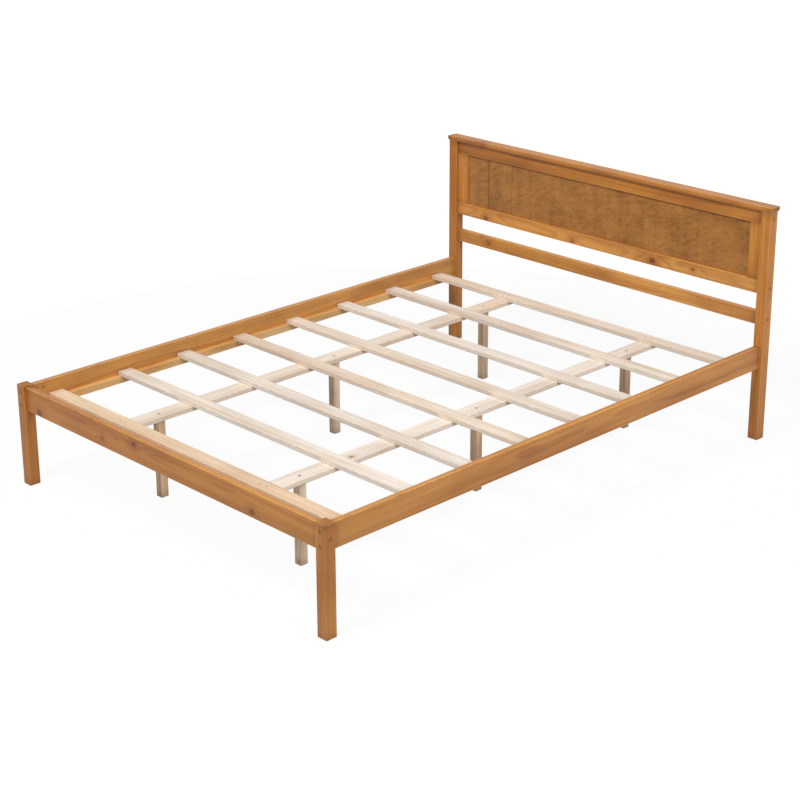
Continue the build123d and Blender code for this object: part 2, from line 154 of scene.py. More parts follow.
class Nodes:
    """Adds nodes to a tree and joins them."""

    def __init__(self, tree):
        self.tree = tree

    def add(self, kind, inputs=None, **settings):
        """New node with its settings, and with values or links on its inputs."""
        node = self.tree.nodes.new(kind)
        for key, value in settings.items():
            setattr(node, key, value)
        for key, value in (inputs or {}).items():
            if isinstance(value, bpy.types.NodeSocket):
                self.link(value, node.inputs[key])
            else:
                node.inputs[key].default_value = value
        return node

    def link(self, value, socket):
        """Joins an output to an input."""
        self.tree.links.new(value, socket)

    def math(self, operation, *values, clamp=False):
        """Result of a math node."""
        inputs = {index: value for index, value in enumerate(values)}
        return self.add("ShaderNodeMath", inputs, operation=operation, use_clamp=clamp).outputs[0]

    def times(self, first, second):
        """Product of two values."""
        return self.math("MULTIPLY", first, second)

    def less(self, first, second):
        """First value less the second."""
        return self.math("SUBTRACT", first, second)

    def line(self, value, slope, base, clamp=False):
        """Value times a slope, plus a base."""
        return self.math("MULTIPLY_ADD", value, slope, base, clamp=clamp)

    def swing(self, value, factor, base):
        """Base plus a factor times how far a value is above a half."""
        return self.line(self.less(value, 0.5), factor, base)

    def vector(self, operation, *values):
        """Result of a vector math node."""
        inputs = {index: value for index, value in enumerate(values)}
        node = self.add("ShaderNodeVectorMath", inputs, operation=operation)
        return node.outputs["Value" if operation in ("LENGTH", "DOT_PRODUCT") else "Vector"]

    def scaled(self, place, factors, shift=(0.0, 0.0, 0.0)):
        """Place times one factor on each axis, plus a shift."""
        return self.vector("MULTIPLY_ADD", place, factors, shift)

    def step(self, value, low, high):
        """Smooth step from 0 at low to 1 at high."""
        inputs = {"Value": value, "From Min": low, "From Max": high}
        return self.add("ShaderNodeMapRange", inputs, interpolation_type="SMOOTHSTEP").outputs["Result"]

    def noise(self, place, scale, detail=2.0, roughness=0.5, shift=(0.0, 0.0, 0.0)):
        """Noise at a place that is scaled on each axis and shifted."""
        place = self.scaled(place, scale, shift)
        inputs = {"Vector": place, "Scale": 1.0, "Detail": detail, "Roughness": roughness}
        return self.add("ShaderNodeTexNoise", inputs).outputs["Fac"]

    def mix(self, factor, first, second, blend="MIX"):
        """Mix of two colours."""
        inputs = {0: factor, 6: first, 7: second}
        return self.add("ShaderNodeMix", inputs, data_type="RGBA", blend_type=blend).outputs[2]


def new_group(name, inputs, outputs):
    """Empty shader group with its sockets by kind, and its two end nodes."""
    tree = bpy.data.node_groups.new(name, "ShaderNodeTree")
    for way, sockets in (("INPUT", inputs), ("OUTPUT", outputs)):
        for kind, names in sockets.items():
            for socket_name in names:
                tree.interface.new_socket(name=socket_name, in_out=way, socket_type=kind)
    nodes = Nodes(tree)
    return nodes, nodes.add("NodeGroupInput").outputs, nodes.add("NodeGroupOutput").inputs


def group_once(name, build):
    """Shader group of this name, built the first time."""
    if name not in bpy.data.node_groups:
        build(name)
    return bpy.data.node_groups[name]


FLOAT, VECTOR, COLOUR = "NodeSocketFloat", "NodeSocketVector", "NodeSocketColor"
FIGURE = ("Rings", "Streaks", "Patches", "Fibres", "Pores")
EDGES = ("Edge", "End", "Joint_shade", "Along")
KNOTS = ("Core", "Halo", "Push")
MADE = {COLOUR: ("Colour",), FLOAT: ("Roughness", "Height")}


def build_pine_figure(name):
    """Growth rings round a pith beside the board, streaks, patches and fibres."""
    inputs = {VECTOR: ("Place", "Pith", "Seed"), FLOAT: ("Ring width", "Push")}
    n, given, result = new_group(name, inputs, {FLOAT: FIGURE})
    place, seed = given["Place"], given["Seed"]
    wander = n.noise(place, (1.5, 7.0, 7.0), 2.0, 0.45, seed)
    ripple = n.noise(place, (9.0, 60.0, 60.0), 2.0, 0.5, seed)
    across = n.vector("MULTIPLY", n.vector("SUBTRACT", place, given["Pith"]), (0.0, 1.0, 1.0))
    radius = n.vector("LENGTH", across)
    radius = n.swing(wander, 0.022, radius)
    radius = n.swing(ripple, 0.0016, radius)
    radius = n.math("ADD", radius, given["Push"])
    phase = n.math("DIVIDE", radius, given["Ring width"])
    saw = n.math("FRACT", phase)
    ring_number = n.math("FLOOR", phase)
    strength = n.add("ShaderNodeTexWhiteNoise", {"W": ring_number}, noise_dimensions="1D").outputs["Value"]
    rise = n.step(saw, 0.25, 0.88)
    fall = n.step(saw, 1.0, 0.9)
    rings = n.times(n.times(rise, fall), n.line(strength, 0.5, 0.5))
    n.link(rings, result["Rings"])
    n.link(n.noise(place, (0.9, 34.0, 34.0), 3.0, 0.6, seed), result["Streaks"])
    n.link(n.noise(place, (3.2, 10.0, 10.0), 2.0, 0.5, seed), result["Patches"])
    n.link(n.noise(place, (16.0, 620.0, 620.0), 3.0, 0.62, seed), result["Fibres"])
    n.link(n.noise(place, (70.0, 2400.0, 2400.0), 2.0, 0.6, seed), result["Pores"])


def build_knot(name):
    """Knot that runs through the board, added to the knots before it."""
    inputs = {VECTOR: ("Place", "Centre"), FLOAT: ("Radius", "Strength", *KNOTS)}
    n, given, result = new_group(name, inputs, {FLOAT: KNOTS})
    offset = n.vector("SUBTRACT", given["Place"], given["Centre"])
    offset = n.vector("MULTIPLY", offset, (0.72, 1.0, 0.0))
    wobble = n.noise(given["Place"], (160.0, 220.0, 0.0))
    distance = n.math("DIVIDE", n.vector("LENGTH", offset), given["Radius"])
    distance = n.swing(wobble, 0.5, distance)
    rings = n.math("SINE", n.times(distance, 14.0))
    core = n.times(n.step(distance, 1.05, 0.55), n.line(rings, 0.12, 0.88))
    core = n.times(core, given["Strength"])
    halo = n.times(n.step(distance, 3.4, 0.8), given["Strength"])
    spread = n.vector("LENGTH", n.vector("MULTIPLY", offset, (0.42, 1.0, 0.0)))
    reach = n.math("DIVIDE", spread, n.times(given["Radius"], 2.6))
    push = n.times(n.step(reach, 1.6, 0.0), n.times(given["Radius"], 0.7))
    n.link(n.math("MAXIMUM", core, given["Core"]), result["Core"])
    n.link(n.math("MAXIMUM", halo, given["Halo"]), result["Halo"])
    n.link(n.math("ADD", push, given["Push"]), result["Push"])


def build_board_edges(name):
    """Closeness to the long edges and the ends of a board, a wider band at the ends for painted shade at the
    joints, and the place along it.
    """
    n, given, result = new_group(name, {VECTOR: ("Place", "Half size")}, {FLOAT: EDGES})
    size = n.vector("ABSOLUTE", given["Place"])
    depth = n.add("ShaderNodeSeparateXYZ", {0: n.vector("SUBTRACT", given["Half size"], size)}).outputs
    low = n.math("MINIMUM", depth["Y"], depth["Z"])
    high = n.math("MAXIMUM", depth["Y"], depth["Z"])
    middle = n.math("MAXIMUM", low, n.math("MINIMUM", high, depth["X"]))
    rough = n.noise(given["Place"], (40.0, 90.0, 90.0), 3.0, 0.6)
    edge = n.times(n.step(middle, 0.0042, 0.0006), n.step(rough, 0.28, 0.56))
    n.link(edge, result["Edge"])
    n.link(n.step(depth["X"], 0.0012, 0.0004), result["End"])
    # Band of three centimetres at each end, where the finish paints shade.
    n.link(n.step(depth["X"], 0.03, 0.004), result["Joint_shade"])
    parts = n.vector("DIVIDE", given["Place"], given["Half size"])
    share = n.add("ShaderNodeSeparateXYZ", {0: parts}).outputs["X"]
    n.link(n.line(share, 0.5, 0.5, clamp=True), result["Along"])


def build_wood_finish(name):
    """Colour, roughness and height of a finished board."""
    inputs = {
        FLOAT: (*FIGURE, *EDGES, "Core", "Halo", "Ring share", "Wear_and_highlight", "Gloss"),
        COLOUR: ("Start tone", "Finish tone", "Light", "Dark", "Warm", "Knot", "Edge colour"),
    }
    n, given, result = new_group(name, inputs, MADE)
    streak = n.times(n.less(given["Streaks"], 0.42), 1.8)
    dark = n.line(given["Rings"], given["Ring share"], streak, clamp=True)
    colour = n.mix(dark, given["Light"], given["Dark"])
    warm = n.times(n.step(given["Patches"], 0.46, 0.68), 0.65)
    colour = n.mix(warm, colour, n.mix(dark, given["Warm"], given["Dark"]))
    tone = n.swing(given["Fibres"], 0.34, 1.0)
    tone = n.line(n.step(given["Pores"], 0.6, 0.75), -0.10, tone)
    tone = n.line(given["End"], -0.02, tone)
    # Painted shade: each board darker within a few centimetres of its ends, where it meets the next part.
    tone = n.line(given["Joint_shade"], -0.24, tone)
    tone = n.swing(given["Patches"], -0.55, tone)
    grey = n.add("ShaderNodeCombineColor", {0: tone, 1: tone, 2: tone}).outputs[0]
    colour = n.mix(1.0, colour, grey, "MULTIPLY")
    tint = n.mix(given["Along"], given["Start tone"], given["Finish tone"])
    colour = n.mix(1.0, colour, tint, "MULTIPLY")
    colour = n.mix(n.times(given["Halo"], 0.5), colour, n.mix(0.4, given["Dark"], given["Knot"]))
    colour = n.mix(given["Core"], colour, given["Knot"])
    # Edge colour mixed in along the long edges: on stained boards a golden painted highlight with patches of
    # worn stain, on bare boards a darker colour.
    colour = n.mix(n.times(given["Edge"], given["Wear_and_highlight"]), colour, given["Edge colour"])
    rough = n.line(given["Fibres"], 0.16, given["Gloss"])
    rough = n.line(given["Rings"], -0.06, rough)
    rough = n.line(given["End"], 0.2, rough, clamp=True)
    height = n.line(given["Rings"], 0.45, n.times(given["Fibres"], 0.55))
    height = n.line(n.step(given["Pores"], 0.6, 0.78), -0.3, height)
    height = n.line(given["Core"], -0.5, height)
    n.link(colour, result["Colour"])
    n.link(rough, result["Roughness"])
    n.link(height, result["Height"])


# Upright joints of the panel's veneer, from the panel's middle: place along it, half width, strength
PANEL_JOINTS = ((-0.531, 0.0045, 0.8), (-0.4155, 0.004, 0.5), (0.224, 0.003, 0.2))


def build_veneer(name):
    """Mottled veneer: curly figure, short cross marks, faint upright joints."""
    n, given, result = new_group(name, {VECTOR: ("Place",), COLOUR: ("Light", "Dark")}, MADE)
    place = given["Place"]
    bend_place = n.scaled(place, (7.0, 9.0, 0.0), (3.0, 1.0, 0.0))
    bend = n.add("ShaderNodeTexNoise", {"Vector": bend_place, "Scale": 1.0})
    warped = n.vector("MULTIPLY_ADD", bend.outputs["Color"], (0.05, 0.045, 0.0), place)
    slanted = n.add("ShaderNodeMapping", {"Vector": warped, "Rotation": (0.0, 0.0, -0.35)}).outputs[0]
    cloud = n.noise(warped, (9.0, 14.0, 0.0), 4.0, 0.6, (0.0, 4.0, 0.0))
    curl = n.noise(slanted, (24.0, 70.0, 0.0), 4.0, 0.62, (5.0, 0.0, 0.0))
    dashes = n.noise(place, (60.0, 340.0, 0.0))
    upright = n.noise(place, (30.0, 1.2, 0.0), 2.0, 0.5, (0.0, 7.0, 0.0))
    fibre = n.noise(place, (900.0, 30.0, 0.0), 2.0, 0.6)
    dark = n.line(cloud, 1.5, -0.3)
    dark = n.swing(curl, 1.2, dark)
    dark = n.swing(dashes, 1.1, dark)
    dark = n.swing(upright, 0.6, dark)
    dark = n.swing(fibre, 0.3, dark)
    along = n.add("ShaderNodeSeparateXYZ", {0: place}).outputs["X"]
    for centre, half_width, strength in PANEL_JOINTS:
        gap = n.math("ABSOLUTE", n.less(along, centre))
        dark = n.line(n.step(gap, half_width, 0.0005), strength, dark)
    dark = n.math("MAXIMUM", dark, 0.0, clamp=True)
    n.link(n.mix(dark, given["Light"], given["Dark"]), result["Colour"])
    n.link(n.line(fibre, 0.14, 0.4), result["Roughness"])
    n.link(n.line(curl, 0.5, n.times(fibre, 0.5)), result["Height"])


def rgba(colour):
    """Colour with full alpha."""
    return (colour[0], colour[1], colour[2], 1.0)


def new_material(name):
    """Empty node material with its shader."""
    material = bpy.data.materials.new(name)
    material.use_nodes = True
    material.node_tree.nodes.clear()
    nodes = Nodes(material.node_tree)
    shader = nodes.add("ShaderNodeBsdfPrincipled")
    output = nodes.add("ShaderNodeOutputMaterial")
    nodes.link(shader.outputs[0], output.inputs["Surface"])
    return material, nodes, shader


def surface(nodes, shader, colour, roughness, height, distance, strength=0.6):
    """Joins colour, roughness and relief to the shader."""
    nodes.link(colour, shader.inputs["Base Color"])
    nodes.link(roughness, shader.inputs["Roughness"])
    relief = nodes.add("ShaderNodeBump", {"Height": height, "Distance": distance, "Strength": strength})
    nodes.link(relief.outputs[0], shader.inputs["Normal"])


class Board(NamedTuple):
    """How a board is cut from its tree, and the tone of the wood at its two ends."""

    along: str
    across: str
    look: str
    pith: tuple
    start: str = "plain"
    finish: str = "plain"
    knots: tuple = ()


# Shares of red, green and blue that tint each board: mostly the wood's own colour, but the dark and brown
# tones on the headboard's left side hold painted shade, and the legs' brighter tone is painted light in
# their shade
TONES = {
    "dark": (0.65, 0.57, 0.35),
    "brown": (0.83, 0.78, 0.54),
    "amber": (0.9, 0.92, 0.75),
    "plain": (0.97, 1.0, 0.95),
    "yellow": (0.98, 1.1, 1.08),
    "golden": (1.03, 1.24, 1.42),
    "honey": (1.12, 1.36, 1.9),
    "tan": (0.95, 0.82, 0.67),
    "cream": (1.05, 1.03, 0.99),
    "ivory": (1.06, 1.1, 1.14),
    "white": (1.09, 1.16, 1.23),
    "shaded": (1.08, 1.02, 0.93),
    "toasted": (1.05, 0.88, 0.7),
}

# The pith is given across and under the board's middle, with the width of a ring.
# Knots are given from the board's middle: along, across, radius, strength.
BOARDS = {
    "foot_post_left": Board("Z", "X", "post", (0.01, -0.05, 0.0045), "brown", "brown"),
    "foot_post_right": Board("Z", "X", "post", (-0.02, -0.04, 0.0045), "amber", "amber"),
    # The dark and brown tones of the left head post, the left stile and the left end of the top rail are
    # partly painted shade.
    "head_post_left": Board("Z", "X", "headboard", (0.03, -0.03, 0.004), "brown", "brown"),
    "head_post_right": Board("Z", "X", "headboard", (-0.01, -0.06, 0.004), "plain", "plain"),
    "foot_rail": Board("X", "Z", "stained", (0.01, 0.05, 0.0048), "brown", "amber", (
        (-0.616, -0.026, 0.0115, 0.9),
        (-0.281, -0.0115, 0.0085, 0.55),
        (-0.123, 0.0165, 0.0095, 1.0),
        (0.413, -0.0205, 0.0105, 0.8),
    )),
    "side_rail_left": Board("Y", "Z", "stained", (-0.02, -0.07, 0.0045), "yellow", "golden"),
    "side_rail_right": Board("Y", "Z", "stained", (0.0, -0.08, 0.005), "yellow", "plain"),
    "ledger_left": Board("Y", "Z", "ledger", (0.0, -0.05, 0.0035), "golden", "golden"),
    "ledger_right": Board("Y", "Z", "ledger", (0.01, -0.05, 0.0035), "golden", "golden"),
    "headboard_cap": Board("X", "Y", "headboard", (0.0, -0.07, 0.004), "brown", "amber", (
        (-0.547, -0.016, 0.009, 0.8),
    )),
    "headboard_top_rail": Board("X", "Z", "headboard", (0.02, -0.06, 0.004), "dark", "amber"),
    "headboard_bottom_rail": Board("X", "Z", "headboard", (0.0, -0.05, 0.0042), "plain", "honey", (
        (-0.538, -0.012, 0.01, 0.75),
        (-0.115, -0.012, 0.008, 0.7),
        (0.245, -0.006, 0.012, 0.9),
        (0.416, 0.0, 0.0055, 0.8),
    )),
    "headboard_cross_rail": Board("X", "Z", "headboard", (-0.03, -0.05, 0.004), "yellow", "honey", (
        (-0.558, 0.017, 0.006, 0.5),
        (-0.523, 0.001, 0.012, 0.6),
    )),
    "headboard_stile_left": Board("Z", "X", "headboard", (0.01, -0.05, 0.0045), "brown", "plain"),
    "headboard_stile_right": Board("Z", "X", "headboard", (-0.01, -0.06, 0.004), "amber", "amber"),
}

# Slats from the foot to the head
SLATS = (
    ((0.011, -0.045, 0.0042), "tan", "tan"),
    ((-0.011, -0.055, 0.0046), "ivory", "ivory"),
    ((0.0, -0.035, 0.005), "ivory", "white"),
    ((0.011, -0.045, 0.0038), "cream", "cream"),
    ((-0.011, -0.055, 0.0042), "cream", "ivory"),
    ((0.0, -0.035, 0.0046), "ivory", "white"),
    ((0.011, -0.045, 0.005), "ivory", "ivory"),
    ((-0.012, -0.055, 0.0038), "cream", "ivory"),
)
for number, cut in enumerate(SLATS, start=1):
    BOARDS[f"slat_{number}"] = Board("X", "Y", "bare", *cut)

BOARDS["support_rail_left"] = Board("Y", "X", "bare", (0.01, -0.05, 0.004), "ivory", "cream")
BOARDS["support_rail_right"] = Board("Y", "X", "bare", (-0.01, -0.04, 0.004), "ivory", "ivory", (
    (-0.53, 0.006, 0.008, 0.7),
))

# Piths of the support legs from the foot to the head. Two legs are browner than the others.
LEG_PITHS = {"left": (0.006, -0.002, -0.006), "right": (0.003, 0.005, -0.004)}
BROWN_LEGS = ("support_leg_left_1", "support_leg_right_2")
for side, piths in LEG_PITHS.items():
    for number, pith_across in enumerate(piths, start=1):
        leg = f"support_leg_{side}_{number}"
        # Legs that are not browned get a brighter, warmer tint: painted light in the shade under the deck.
        tone = "toasted" if leg in BROWN_LEGS else "shaded"
        BOARDS[leg] = Board("Z", "X", "leg", (pith_across, -0.03, 0.004), tone, tone)


AXES = {"X": Vector((1, 0, 0)), "Y": Vector((0, 1, 0)), "Z": Vector((0, 0, 1))}


def board_turn(along, across):
    """Rotation that puts a board's length on local X and its width on local Y."""
    first, second = AXES[along], AXES[across]
    return Matrix((first, second, first.cross(second))).transposed().to_euler()


def board_place(nodes, low, high, along, across):
    """Place on a board from its middle, with X along it, and half its size that way round."""
    turn = board_turn(along, across)
    centre = (low + high) / 2
    coordinates = nodes.add("ShaderNodeTexCoord").outputs["Object"]
    inputs = {"Vector": coordinates, "Location": centre, "Rotation": turn}
    place = nodes.add("ShaderNodeMapping", inputs, vector_type="TEXTURE").outputs[0]
    half = turn.to_matrix().transposed() @ ((high - low) / 2)
    return place, Vector([abs(value) for value in half])


def wood_material(node, number):
    """Pine for one board of the frame."""
    board = BOARDS[node]
    look = looks()[board.look]
    low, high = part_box(node)
    material, nodes, shader = new_material(node.replace("_", " ").capitalize() + " pine")
    place, half = board_place(nodes, low, high, board.along, board.across)
    knots = dict.fromkeys(KNOTS, 0.0)
    for x, y, radius, strength in board.knots:
        inputs = {"Place": place, "Centre": (x, y, 0.0), "Radius": radius, "Strength": strength, **knots}
        knot = group_node(nodes, "Pine knot", build_knot, inputs)
        knots = {key: knot.outputs[key] for key in KNOTS}
    seed = (number * 3.17, number * 1.73 + 5.0, number * 2.31)
    pith = (0.0, board.pith[0], board.pith[1])
    inputs = {"Place": place, "Pith": pith, "Seed": seed, "Ring width": board.pith[2], "Push": knots["Push"]}
    figure = group_node(nodes, "Pine figure", build_pine_figure, inputs)
    edges = group_node(nodes, "Board edges", build_board_edges, {"Place": place, "Half size": half})
    inputs = {"Core": knots["Core"], "Halo": knots["Halo"], **look["group"]}
    inputs.update({key: figure.outputs[key] for key in FIGURE})
    inputs.update({key: edges.outputs[key] for key in EDGES})
    inputs["Start tone"] = rgba(TONES[board.start])
    inputs["Finish tone"] = rgba(TONES[board.finish])
    made = group_node(nodes, "Wood finish", build_wood_finish, inputs)
    surface(nodes, shader, *made.outputs, look["bump"])
    for key, value in look["shader"].items():
        shader.inputs[key].default_value = value
    return material


def group_node(nodes, name, build, inputs):
    """Node of a shader group with its inputs set."""
    return nodes.add("ShaderNodeGroup", inputs, node_tree=group_once(name, build))


def looks():
    """Finishes of the woods, from the settings."""
    colours = bpy.context.scene.bed_finish
    lacquer = {"Specular IOR Level": 0.4, "Coat Weight": 0.12, "Coat Roughness": 0.35}
    raw = {"Specular IOR Level": 0.25}
    stained = {
        "Light": rgba(colours.stain_light),
        "Dark": rgba(colours.stain_dark),
        "Warm": rgba(colours.stain_warm),
        "Knot": rgba(colours.knot_stained),
        "Edge colour": rgba(colours.stain_edge_highlight),
        "Ring share": 0.45,
        "Wear_and_highlight": 0.55,
        "Gloss": 0.4,
    }
    post = dict(stained, Wear_and_highlight=0.22)
    headboard = dict(post, Light=rgba(colours.head_light), Dark=rgba(colours.head_dark))
    ledger = dict(stained, Light=rgba(colours.ledger_light), Dark=rgba(colours.stain_light))
    bare = {
        "Light": rgba(colours.bare_light),
        "Dark": rgba(colours.bare_dark),
        "Warm": rgba(colours.bare_warm),
        "Knot": rgba(colours.knot_bare),
        "Edge colour": rgba(colours.bare_edge),
        "Ring share": 0.5,
        "Wear_and_highlight": 0.5,
        "Gloss": 0.62,
    }
    leg = dict(bare, Dark=rgba(colours.leg_dark))
    leg["Ring share"] = 0.8
    return {
        "stained": {"group": stained, "shader": lacquer, "bump": 0.00025},
        "post": {"group": post, "shader": lacquer, "bump": 0.00025},
        "headboard": {"group": headboard, "shader": lacquer, "bump": 0.00025},
        "ledger": {"group": ledger, "shader": lacquer, "bump": 0.0003},
        "bare": {"group": bare, "shader": raw, "bump": 0.0004},
        "leg": {"group": leg, "shader": raw, "bump": 0.0004},
    }


def dress(node, material):
    """Gives a solid of the frame its material."""
    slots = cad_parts[node].material_slots
    if not slots:
        raise RuntimeError(f"{node} has no material slot")
    for slot in slots:
        slot.material = material


def finish_boards(nodes):
    """Pine on boards of the frame."""
    numbers = {node: number for number, node in enumerate(BOARDS, start=1)}
    for node in nodes:
        dress(node, wood_material(node, numbers[node]))


def finish_metal(name, colour, roughness):
    """Plated steel with fine scratches and dull patches."""
    material, nodes, shader = new_material(name)
    place = nodes.add("ShaderNodeTexCoord").outputs["Object"]
    patches = nodes.noise(place, (240.0, 240.0, 240.0), 3.0, 0.6)
    grains = nodes.noise(place, (2600.0, 2600.0, 2600.0), 2.0, 0.6, (1.0, 2.0, 3.0))
    dull = [channel * 0.55 for channel in colour]
    mixed = nodes.mix(nodes.step(patches, 0.42, 0.7), rgba(colour), rgba(dull))
    rough = nodes.line(patches, 0.3, roughness)
    surface(nodes, shader, mixed, rough, grains, 0.00005, 0.5)
    shader.inputs["Metallic"].default_value = 1.0
    return material


# Places of the fasteners, read from the solids of the frame

# Depth at each end of a fastener in which its width is measured
END_DEPTH = 0.6 * MM


class Fastener(NamedTuple):
    """One solid of a fastener node: its head's middle, the ways it and its bore point, and its length."""

    head: Vector
    inward: Vector
    bore: Vector
    length: float


def solids_of(node):
    """Vertices of each separate solid of a node."""
    mesh = bmesh.new()
    mesh.from_mesh(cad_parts[node].data)
    bmesh.ops.remove_doubles(mesh, verts=mesh.verts, dist=1e-6)
    left = set(mesh.verts)
    solids = []
    while left:
        island = set()
        edge_of_island = [left.pop()]
        while edge_of_island:
            vertex = edge_of_island.pop()
            island.add(vertex)
            for edge in vertex.link_edges:
                other = edge.other_vert(vertex)
                if other in left:
                    left.remove(other)
                    edge_of_island.append(other)
        solids.append([vertex.co.copy() for vertex in island])
    mesh.free()
    return sorted(solids, key=rounded_middle)


def rounded_middle(points):
    """Mean place of some points, to a tenth of a millimetre."""
    return tuple(round(sum(point[i] for point in points) / len(points), 4) for i in range(3))


def fasteners_of(node, along, entry=None, bore=AXES["Z"]):
    """Fasteners of a node that lie along an axis, with heads at the wide end or on the side of entry."""
    axis = "XYZ".index(along)
    found = []
    for points in solids_of(node):
        low = Vector([min(p[i] for p in points) for i in range(3)])
        high = Vector([max(p[i] for p in points) for i in range(3)])
        middle = (low + high) / 2
        near_low = max(from_axis(p, middle, axis) for p in points if p[axis] < low[axis] + END_DEPTH)
        near_high = max(from_axis(p, middle, axis) for p in points if p[axis] > high[axis] - END_DEPTH)
        head_high = near_high > near_low if entry is None else entry(middle)
        head = middle.copy()
        head[axis] = high[axis] if head_high else low[axis]
        inward = Vector((0, 0, 0))
        inward[axis] = -1 if head_high else 1
        found.append(Fastener(head, inward, bore, high[axis] - low[axis]))
    return found


def from_axis(point, middle, axis):
    """Distance of a point from a fastener's own axis."""
    offset = point - middle
    offset[axis] = 0
    return offset.length


def places_mesh(name, fasteners):
    """Mesh with one point for each fastener, and the ways it points."""
    mesh = bpy.data.meshes.new(name)
    mesh.from_pydata([f.head for f in fasteners], [], [])
    for label in ("inward", "bore"):
        attribute = mesh.attributes.new(label, "FLOAT_VECTOR", "POINT")
        for index, fastener in enumerate(fasteners):
            attribute.data[index].vector = getattr(fastener, label)
    return mesh


# Geometry Nodes of the fasteners. Each shape is built along +Z, from the head's face at zero.


class Shapes(Nodes):
    """Nodes of a geometry tree."""

    def __init__(self, name, sizes):
        tree = bpy.data.node_groups.new(name, "GeometryNodeTree")
        tree.interface.new_socket(name="Geometry", in_out="INPUT", socket_type="NodeSocketGeometry")
        self.identifiers = {}
        for size_name, value in sizes.items():
            whole = isinstance(value, int)
            kind = "NodeSocketInt" if whole else "NodeSocketFloat"
            socket = tree.interface.new_socket(name=size_name, in_out="INPUT", socket_type=kind)
            socket.default_value = value
            self.identifiers[size_name] = socket.identifier
        tree.interface.new_socket(name="Geometry", in_out="OUTPUT", socket_type="NodeSocketGeometry")
        super().__init__(tree)
        self.given = self.add("NodeGroupInput").outputs

    def moved(self, geometry, z=0.0, turn=(0.0, 0.0, 0.0), scale=(1.0, 1.0, 1.0)):
        """Geometry turned, scaled and moved along Z."""
        offset = self.add("ShaderNodeCombineXYZ", {"Z": z}).outputs[0]
        inputs = {"Geometry": geometry, "Translation": offset, "Rotation": Euler(turn), "Scale": scale}
        return self.add("GeometryNodeTransform", inputs).outputs[0]

    def cylinder(self, radius, start, end, sides=32, rings=1):
        """Closed cylinder from start to end."""
        depth = self.less(end, start)
        inputs = {"Vertices": sides, "Side Segments": rings, "Radius": radius, "Depth": depth}
        shape = self.add("GeometryNodeMeshCylinder", inputs).outputs["Mesh"]
        return self.moved(shape, self.times(self.math("ADD", start, end), 0.5))

    def cone(self, start_radius, end_radius, start, end, sides=32):
        """Closed cone from start to end."""
        inputs = {
            "Vertices": sides,
            "Radius Bottom": start_radius,
            "Radius Top": end_radius,
            "Depth": self.less(end, start),
        }
        shape = self.add("GeometryNodeMeshCone", inputs).outputs["Mesh"]
        return self.moved(shape, start)

    def box(self, x, y, z, middle):
        """Box with its middle on the axis."""
        size = self.add("ShaderNodeCombineXYZ", {"X": x, "Y": y, "Z": z}).outputs[0]
        shape = self.add("GeometryNodeMeshCube", {"Size": size}).outputs["Mesh"]
        return self.moved(shape, middle)

    def boolean(self, operation, first, *others):
        """Union or difference of closed shapes."""
        node = self.add("GeometryNodeMeshBoolean", operation=operation, solver="EXACT")
        self.link(first, node.inputs["Mesh 1" if operation == "DIFFERENCE" else "Mesh 2"])
        for other in others:
            self.link(other, node.inputs["Mesh 2"])
        return node.outputs["Mesh"]

    def joined(self, *shapes):
        """Shapes side by side in one geometry."""
        node = self.add("GeometryNodeJoinGeometry")
        for shape in shapes:
            self.link(shape, node.inputs[0])
        return node.outputs[0]

    def thread(self, radius, depth, pitch, start, end, turn_points):
        """Ridge that winds round a shank from start to end."""
        length = self.less(end, start)
        inputs = {
            "Resolution": turn_points,
            "Rotations": self.math("DIVIDE", length, pitch),
            "Start Radius": radius,
            "End Radius": radius,
            "Height": length,
        }
        path = self.add("GeometryNodeCurveSpiral", inputs).outputs["Curve"]
        inputs = {"Resolution": 3, "Radius": depth}
        ridge = self.add("GeometryNodeCurvePrimitiveCircle", inputs).outputs["Curve"]
        inputs = {"Curve": path, "Profile Curve": ridge, "Fill Caps": True}
        sweep = self.add("GeometryNodeCurveToMesh", inputs)
        return self.moved(sweep.outputs[0], start)

    def placed(self, shape, material):
        """Ends the tree: the shape at every place, as real mesh with its material."""
        turned = None
        for label, axis in (("inward", "Z"), ("bore", "X")):
            way = self.add("GeometryNodeInputNamedAttribute", {"Name": label}, data_type="FLOAT_VECTOR")
            inputs = {"Vector": way.outputs[0]}
            if turned is not None:
                inputs["Rotation"] = turned
            pivot = "AUTO" if turned is None else "Z"
            node = self.add("FunctionNodeAlignRotationToVector", inputs, axis=axis, pivot_axis=pivot)
            turned = node.outputs[0]
        inputs = {"Points": self.given["Geometry"], "Instance": shape, "Rotation": turned}
        copies = self.add("GeometryNodeInstanceOnPoints", inputs).outputs[0]
        real = self.add("GeometryNodeRealizeInstances", {"Geometry": copies}).outputs[0]
        painted = self.add("GeometryNodeSetMaterial", {"Geometry": real, "Material": material}).outputs[0]
        self.link(painted, self.add("NodeGroupOutput").inputs[0])


def baked_piece(name, fasteners, shapes, sizes, replaced):
    """Runs a geometry tree on the places, keeps its mesh and stands it for the frame's solids."""
    source = new_object(name + "_places", places_mesh(name + "_places", fasteners))
    modifier = source.modifiers.new("Fasteners", "NODES")
    modifier.node_group = shapes.tree
    for size_name, value in sizes.items():
        modifier[shapes.identifiers[size_name]] = value
    graph = bpy.context.evaluated_depsgraph_get()
    mesh = bpy.data.meshes.new_from_object(source.evaluated_get(graph), depsgraph=graph)
    source.modifiers.remove(modifier)
    bpy.data.objects.remove(source)
    if not mesh.polygons:
        raise RuntimeError(f"{name} has no faces")
    mesh.name = name
    piece = new_object(name, mesh)
    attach(piece, "root")
    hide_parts(replaced)
    return piece


def make_pieces(kind, node, fasteners, build, values, material):
    """Draws the fasteners of one node again, at the length of its solids."""
    sizes = {"Length": fasteners[0].length, **values}
    shapes = build(node + " shape", sizes, material)
    baked_piece(kind + node, fasteners, shapes, sizes, node)


